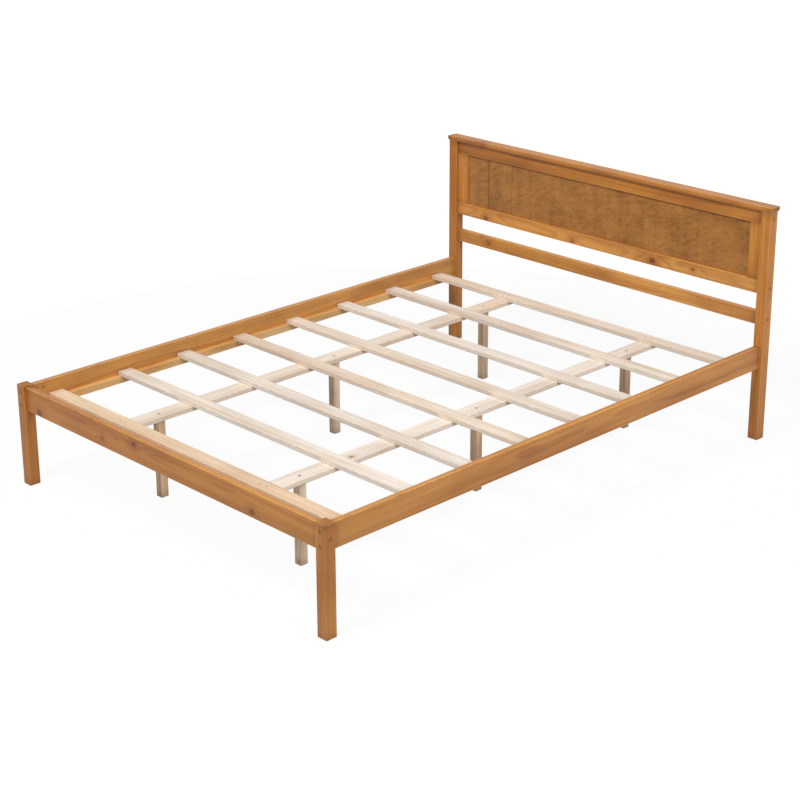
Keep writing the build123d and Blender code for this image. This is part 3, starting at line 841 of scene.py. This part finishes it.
def bolt_shapes(name, sizes, material):
    """Bolt with a bevelled head, a hexagon socket and a threaded tip."""
    s = Shapes(name, sizes)
    g = s.given
    head_end = g["Head height"]
    bevel = s.times(g["Head height"], 0.4)
    rim = s.times(g["Head radius"], 0.84)
    top = s.cone(rim, g["Head radius"], 0.0, bevel)
    side = s.cylinder(g["Head radius"], bevel, head_end)
    core = s.less(g["Shank radius"], g["Thread depth"])
    thread_start = s.less(g["Length"], g["Thread length"])
    shank = s.cylinder(g["Shank radius"], s.times(head_end, 0.9), thread_start, 24)
    tip_start = s.less(g["Length"], g["Thread depth"])
    tip = s.cylinder(core, s.less(thread_start, 0.0005), tip_start, 24)
    point = s.cone(core, s.times(core, 0.75), tip_start, g["Length"], 24)
    solid = s.boolean("UNION", top, side, shank, tip, point)
    corner = s.math("DIVIDE", g["Socket width"], 2 * math.cos(math.pi / 6))
    socket = s.cylinder(corner, -0.001, g["Socket depth"], 6)
    solid = s.boolean("DIFFERENCE", solid, socket)
    ridge = s.times(g["Thread depth"], 0.9)
    middle = s.line(ridge, 0.1, core)
    thread = s.thread(middle, ridge, g["Pitch"], s.math("ADD", thread_start, 0.0005), tip_start, 14)
    s.placed(s.joined(solid, thread), material)
    return s


def nut_shapes(name, sizes, material):
    """Barrel nut with a cross bore and a slot for a screwdriver."""
    s = Shapes(name, sizes)
    g = s.given
    bevel = s.times(g["Radius"], 0.1)
    low = s.cone(s.times(g["Radius"], 0.9), g["Radius"], 0.0, bevel)
    far = s.less(g["Length"], bevel)
    body = s.cylinder(g["Radius"], bevel, far)
    high = s.cone(g["Radius"], s.times(g["Radius"], 0.9), far, g["Length"])
    solid = s.boolean("UNION", low, body, high)
    reach = s.times(g["Radius"], 2.0)
    bore = s.cylinder(g["Bore radius"], s.times(reach, -1.0), reach, 24)
    bore = s.moved(bore, g["Bore depth"], (0.0, math.pi / 2, 0.0))
    slot_length = s.times(reach, 1.2)
    slot = s.box(slot_length, g["Slot width"], s.times(g["Slot width"], 2.0), 0.0)
    s.placed(s.boolean("DIFFERENCE", solid, bore, slot), material)
    return s


def screw_shapes(name, sizes, material):
    """Countersunk screw with a cross recess, a threaded shank and a point."""
    s = Shapes(name, sizes)
    g = s.given
    rim = s.cylinder(g["Head radius"], 0.0, 0.0003, 28)
    cone = s.cone(g["Head radius"], g["Shank radius"], 0.0003, g["Head height"], 28)
    core = s.less(g["Shank radius"], g["Thread depth"])
    point_start = s.less(g["Length"], s.times(g["Shank radius"], 2.4))
    shank = s.cylinder(core, s.times(g["Head height"], 0.9), point_start, 20)
    point = s.cone(core, 0.0002, point_start, g["Length"], 20)
    solid = s.boolean("UNION", rim, cone, shank, point)
    reach = s.times(g["Head radius"], 1.15)
    depth = s.times(g["Recess width"], 2.6)
    first = s.box(reach, g["Recess width"], depth, 0.0)
    second = s.box(g["Recess width"], reach, depth, 0.0)
    solid = s.boolean("DIFFERENCE", solid, first, second)
    ridge = s.times(g["Thread depth"], 0.9)
    middle = s.line(ridge, 0.1, core)
    start = s.math("ADD", g["Head height"], 0.002)
    s.placed(s.joined(solid, s.thread(middle, ridge, g["Pitch"], start, point_start, 12)), material)
    return s


def dowel_shapes(name, sizes, material):
    """Fluted dowel with tapered ends."""
    s = Shapes(name, sizes)
    g = s.given
    body = s.cylinder(g["Radius"], 0.0, g["Length"], 64, 20)
    position = s.add("GeometryNodeInputPosition").outputs[0]
    parts = s.add("ShaderNodeSeparateXYZ", {0: position}).outputs
    angle = s.math("ARCTAN2", parts["Y"], parts["X"])
    wave = s.math("COSINE", s.times(angle, g["Flutes"]))
    groove = s.times(s.line(wave, 0.5, -0.5), g["Flute depth"])
    from_end = s.math("MINIMUM", parts["Z"], s.less(g["Length"], parts["Z"]))
    taper = s.times(s.step(from_end, 0.0016, 0.0), -0.16)
    share = s.math("ADD", s.math("DIVIDE", groove, g["Radius"]), taper)
    inputs = {0: s.vector("MULTIPLY", position, (1.0, 1.0, 0.0)), "Scale": share}
    offset = s.add("ShaderNodeVectorMath", inputs, operation="SCALE").outputs[0]
    shape = s.add("GeometryNodeSetPosition", {"Geometry": body, "Offset": offset}).outputs[0]
    s.placed(shape, material)
    return s


def dowel_material():
    """Beech with short dark flecks."""
    material, nodes, shader = new_material("Beech dowel")
    place = nodes.add("ShaderNodeTexCoord").outputs["Object"]
    fibres = nodes.noise(place, (500.0, 500.0, 500.0), 3.0, 0.6)
    flecks = nodes.noise(place, (1500.0, 1500.0, 1500.0), 2.0, 0.6, (4.0, 1.0, 2.0))
    colour = rgba(bpy.context.scene.bed_finish.dowel_wood)
    dark = rgba([channel * 0.55 for channel in colour[:3]])
    soft = nodes.times(fibres, 0.35)
    share = nodes.line(nodes.step(flecks, 0.55, 0.75), 0.5, soft)
    mixed = nodes.mix(share, colour, dark)
    surface(nodes, shader, mixed, nodes.line(fibres, 0.2, 0.6), fibres, 0.0001)
    return material


# Operators


class BED_OT_finish_posts(Operator):
    """Stained pine on the four corner posts"""

    bl_idname = "bed.finish_posts"
    bl_label = "Finish posts"

    def execute(self, context):
        finish_boards(node for node in BOARDS if "post" in node)
        return {"FINISHED"}


class BED_OT_finish_rails(Operator):
    """Stained pine on the foot rail, the side rails and the ledger strips"""

    bl_idname = "bed.finish_rails"
    bl_label = "Finish rails"

    def execute(self, context):
        finish_boards(("foot_rail", "side_rail_left", "side_rail_right", "ledger_left", "ledger_right"))
        return {"FINISHED"}


class BED_OT_finish_headboard(Operator):
    """Stained pine on the headboard's boards and veneer on its panel"""

    bl_idname = "bed.finish_headboard"
    bl_label = "Finish headboard"

    def execute(self, context):
        finish_boards(node for node in BOARDS if node.startswith("headboard"))
        colours = context.scene.bed_finish
        material, nodes, shader = new_material("Veneered panel")
        low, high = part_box("headboard_panel")
        place, _ = board_place(nodes, low, high, "X", "Z")
        inputs = {"Place": place, "Light": rgba(colours.panel_light), "Dark": rgba(colours.panel_dark)}
        made = group_node(nodes, "Curly veneer", build_veneer, inputs)
        surface(nodes, shader, *made.outputs, 0.0002)
        shader.inputs["Specular IOR Level"].default_value = 0.35
        dress("headboard_panel", material)
        return {"FINISHED"}


class BED_OT_finish_deck(Operator):
    """Bare pine on the slats, the support rails and the support legs"""

    bl_idname = "bed.finish_deck"
    bl_label = "Finish deck"

    def execute(self, context):
        finish_boards(node for node in BOARDS if node.startswith(("slat", "support")))
        return {"FINISHED"}


class BED_OT_make_bolts(Operator):
    """Connector bolts and leg bolts with sockets and threads"""

    bl_idname = "bed.make_bolts"
    bl_label = "Make bolts"

    def execute(self, context):
        sizes = context.scene.bed_hardware
        material = finish_metal("Zinc-plated bolt", context.scene.bed_finish.bolt_steel, 0.28)
        values = {
            "Head radius": 5.75 * MM,
            "Head height": 3.5 * MM,
            "Shank radius": 3.0 * MM,
            "Socket width": sizes.socket_width,
            "Socket depth": sizes.socket_depth,
            "Thread length": sizes.bolt_thread,
            "Thread depth": sizes.thread_depth,
            "Pitch": sizes.bolt_pitch,
        }
        groups = {"side_rail_bolts": "Y", "foot_rail_bolts": "X", "headboard_bolts": "X", "leg_bolts": "Z"}
        for node, along in groups.items():
            bolts = fasteners_of(node, along)
            make_pieces("threaded_", node, bolts, bolt_shapes, values, material)
        return {"FINISHED"}


class BED_OT_make_nuts(Operator):
    """Barrel nuts with a bore and a slot"""

    bl_idname = "bed.make_nuts"
    bl_label = "Make barrel nuts"

    def execute(self, context):
        material = finish_metal("Zinc-plated nut", context.scene.bed_finish.nut_steel, 0.32)
        values = {
            "Radius": 5.0 * MM,
            "Bore radius": 3.2 * MM,
            "Bore depth": 8.5 * MM,
            "Slot width": context.scene.bed_hardware.nut_slot,
        }
        groups = (
            ("side_rail_barrel_nuts", "X", lambda middle: middle.x < 0, AXES["Y"]),
            ("foot_rail_barrel_nuts", "Y", lambda middle: True, AXES["X"]),
            ("headboard_barrel_nuts", "Y", lambda middle: True, AXES["X"]),
        )
        for node, along, entry, bore in groups:
            nuts = fasteners_of(node, along, entry, bore)
            make_pieces("slotted_", node, nuts, nut_shapes, values, material)
        return {"FINISHED"}


class BED_OT_make_screws(Operator):
    """Countersunk screws of the slats and the ledger strips"""

    bl_idname = "bed.make_screws"
    bl_label = "Make screws"

    def execute(self, context):
        sizes = context.scene.bed_hardware
        material = finish_metal("Yellow-zinc screw", context.scene.bed_finish.screw_steel, 0.3)
        values = {
            "Head radius": 3.5 * MM,
            "Head height": 2.5 * MM,
            "Shank radius": 1.75 * MM,
            "Recess width": sizes.recess_width,
            "Thread depth": sizes.thread_depth,
            "Pitch": sizes.screw_pitch,
        }
        for node, along in (("slat_screws", "Z"), ("ledger_screws", "X")):
            screws = fasteners_of(node, along)
            make_pieces("threaded_", node, screws, screw_shapes, values, material)
        return {"FINISHED"}


class BED_OT_make_dowels(Operator):
    """Fluted dowels in the rails' ends and under the cap"""

    bl_idname = "bed.make_dowels"
    bl_label = "Make dowels"

    def execute(self, context):
        sizes = context.scene.bed_hardware
        material = dowel_material()
        values = {"Radius": 3.0 * MM, "Flutes": sizes.dowel_flutes, "Flute depth": sizes.flute_depth}
        for node, along in (("foot_rail_dowels", "X"), ("headboard_dowels", "X"), ("cap_dowels", "Z")):
            dowels = fasteners_of(node, along, lambda middle: True)
            make_pieces("fluted_", node, dowels, dowel_shapes, values, material)
        return {"FINISHED"}


class BED_OT_build_stage(Operator):
    """Floor, even light, two big lamps and the camera"""

    bl_idname = "bed.build_stage"
    bl_label = "Build stage"

    def execute(self, context):
        scene = context.scene
        stage = scene.bed_stage
        floor = floor_disc("studio_floor", FLOOR_RADIUS)
        floor.data.materials.append(floor_material(stage))
        scene.world = studio_sky(stage.sky_strength)
        studio_lamp("Key lamp", KEY_PLACE, KEY_SIZE, stage.key_strength)
        studio_lamp("Fill lamp", FILL_PLACE, FILL_SIZE, stage.fill_strength)
        scene.camera = photo_camera(stage.lens)
        scene.view_settings.view_transform = "Standard"
        return {"FINISHED"}


# The key lamp stands high before the foot, the fill lamp low on the right. Places are in metres.
KEY_PLACE, KEY_SIZE = (0.5, -5.7, 8.2), 3.2
FILL_PLACE, FILL_SIZE = (6.8, -0.8, 4.1), 3.8
FLOOR_RADIUS, FADE_START, FADE_END = 14.0, 1.1, 2.4

# The camera's place, its turn about Z, its tilt down and its roll in radians, and the shift of its lens
CAMERA_PLACE = (3.93048, -3.84557, 2.39588)
CAMERA_TURN, CAMERA_DOWN, CAMERA_ROLL = 0.8097, 0.3346, 0.0078
SHIFT_X, SHIFT_Y = 0.025, -0.1


def studio_lamp(name, place, size, strength):
    """Round lamp that looks at the bed."""
    lamp = bpy.data.lights.new(name, "AREA")
    lamp.shape = "DISK"
    lamp.size = size
    lamp.energy = strength
    body = new_object(name, lamp)
    body.location = Vector(place)
    body.rotation_euler = (-body.location).to_track_quat("-Z", "Y").to_euler()


def floor_disc(name, radius):
    """Flat round floor at the bottom of the posts."""
    mesh = bpy.data.meshes.new(name)
    shape = bmesh.new()
    bmesh.ops.create_circle(shape, cap_ends=True, segments=64, radius=radius)
    shape.to_mesh(mesh)
    shape.free()
    return new_object(name, mesh)


def seen_directly(nodes):
    """One for camera, glossy and transmission rays."""
    path = nodes.add("ShaderNodeLightPath").outputs
    seen = nodes.math("MAXIMUM", path["Is Camera Ray"], path["Is Glossy Ray"])
    return nodes.math("MAXIMUM", seen, path["Is Transmission Ray"])


def floor_material(stage):
    """Pale floor that keeps soft shadows and fades to white away from the bed."""
    material, nodes, shader = new_material("Studio floor")
    place = nodes.add("ShaderNodeTexCoord").outputs["Object"]
    speckle = nodes.noise(place, (3.0, 3.0, 3.0))
    nodes.link(nodes.line(speckle, 0.1, 0.75), shader.inputs["Roughness"])
    shader.inputs["Base Color"].default_value = rgba(stage.floor_colour)
    shader.inputs["Specular IOR Level"].default_value = 0.1
    pale = stage.floor_colour[1] * stage.floor_share
    whole = (1 - pale) / (1 - stage.floor_share)
    white = nodes.add("ShaderNodeEmission", {"Color": (1.0, 1.0, 1.0, 1.0), "Strength": whole})
    distance = nodes.vector("LENGTH", place)
    away = nodes.step(distance, FADE_START, FADE_END)
    share = nodes.math("MAXIMUM", away, 1 - stage.floor_share)
    share = nodes.times(share, seen_directly(nodes))
    mixed = nodes.add("ShaderNodeMixShader", {0: share, 1: shader.outputs[0], 2: white.outputs[0]})
    output = next(node for node in nodes.tree.nodes if node.type == "OUTPUT_MATERIAL")
    nodes.link(mixed.outputs[0], output.inputs["Surface"])
    return material


def studio_sky(strength):
    """Even light from all round, seen as white."""
    world = bpy.data.worlds.new("Studio sky")
    world.use_nodes = True
    world.node_tree.nodes.clear()
    nodes = Nodes(world.node_tree)
    light = nodes.add("ShaderNodeBackground", {"Color": (1.0, 1.0, 1.0, 1.0), "Strength": strength})
    white = nodes.add("ShaderNodeBackground", {"Color": (1.0, 1.0, 1.0, 1.0), "Strength": 1.0})
    inputs = {0: seen_directly(nodes), 1: light.outputs[0], 2: white.outputs[0]}
    mixed = nodes.add("ShaderNodeMixShader", inputs)
    output = nodes.add("ShaderNodeOutputWorld")
    nodes.link(mixed.outputs[0], output.inputs["Surface"])
    return world


def photo_camera(lens):
    """Camera beyond the right foot corner, well above the headboard, looking down."""
    camera = bpy.data.cameras.new("Camera")
    camera.lens = lens
    camera.sensor_width = 36.0
    camera.shift_x = SHIFT_X
    camera.shift_y = SHIFT_Y
    camera.clip_end = 100.0
    body = new_object("Camera", camera)
    turn, down, roll = CAMERA_TURN, CAMERA_DOWN, CAMERA_ROLL
    ahead = Vector((-math.sin(turn) * math.cos(down), math.cos(turn) * math.cos(down), -math.sin(down)))
    right = Vector((math.cos(turn), math.sin(turn), 0.0))
    below = ahead.cross(right)
    tilted_right = math.cos(roll) * right + math.sin(roll) * below
    tilted_below = -math.sin(roll) * right + math.cos(roll) * below
    turned = Matrix((tilted_right, -tilted_below, -ahead)).transposed()
    body.matrix_world = Matrix.Translation(CAMERA_PLACE) @ turned.to_4x4()
    return body


class BED_PT_panel(Panel):
    """Buttons and settings of the bed"""

    bl_label = "Platform bed"
    bl_idname = "BED_PT_panel"
    bl_space_type = "VIEW_3D"
    bl_region_type = "UI"
    bl_category = "Bed"

    def draw(self, context):
        layout = self.layout
        for operator in OPERATORS:
            layout.operator(operator.bl_idname)
        for group in (context.scene.bed_finish, context.scene.bed_hardware, context.scene.bed_stage):
            box = layout.box()
            for name in group.bl_rna.properties.keys():
                if name not in ("rna_type", "name"):
                    box.prop(group, name)


OPERATORS = (
    BED_OT_finish_posts,
    BED_OT_finish_rails,
    BED_OT_finish_headboard,
    BED_OT_finish_deck,
    BED_OT_make_bolts,
    BED_OT_make_nuts,
    BED_OT_make_screws,
    BED_OT_make_dowels,
    BED_OT_build_stage,
)
SETTINGS = {"bed_finish": BedFinish, "bed_hardware": BedHardware, "bed_stage": BedStage}


def register():
    """Adds the settings, operators and panel."""
    for name, group in SETTINGS.items():
        bpy.utils.register_class(group)
        setattr(bpy.types.Scene, name, PointerProperty(type=group))
    for operator in OPERATORS:
        bpy.utils.register_class(operator)
    bpy.utils.register_class(BED_PT_panel)


def unregister():
    """Takes them away again."""
    bpy.utils.unregister_class(BED_PT_panel)
    for operator in reversed(OPERATORS):
        bpy.utils.unregister_class(operator)
    for name, group in SETTINGS.items():
        delattr(bpy.types.Scene, name)
        bpy.utils.unregister_class(group)


def main():
    """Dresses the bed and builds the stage."""
    register()
    bpy.ops.bed.finish_posts()
    bpy.ops.bed.finish_rails()
    bpy.ops.bed.finish_headboard()
    bpy.ops.bed.finish_deck()
    bpy.ops.bed.make_bolts()
    bpy.ops.bed.make_nuts()
    bpy.ops.bed.make_screws()
    bpy.ops.bed.make_dowels()
    bpy.ops.bed.build_stage()


if __name__ == "__main__":
    main()
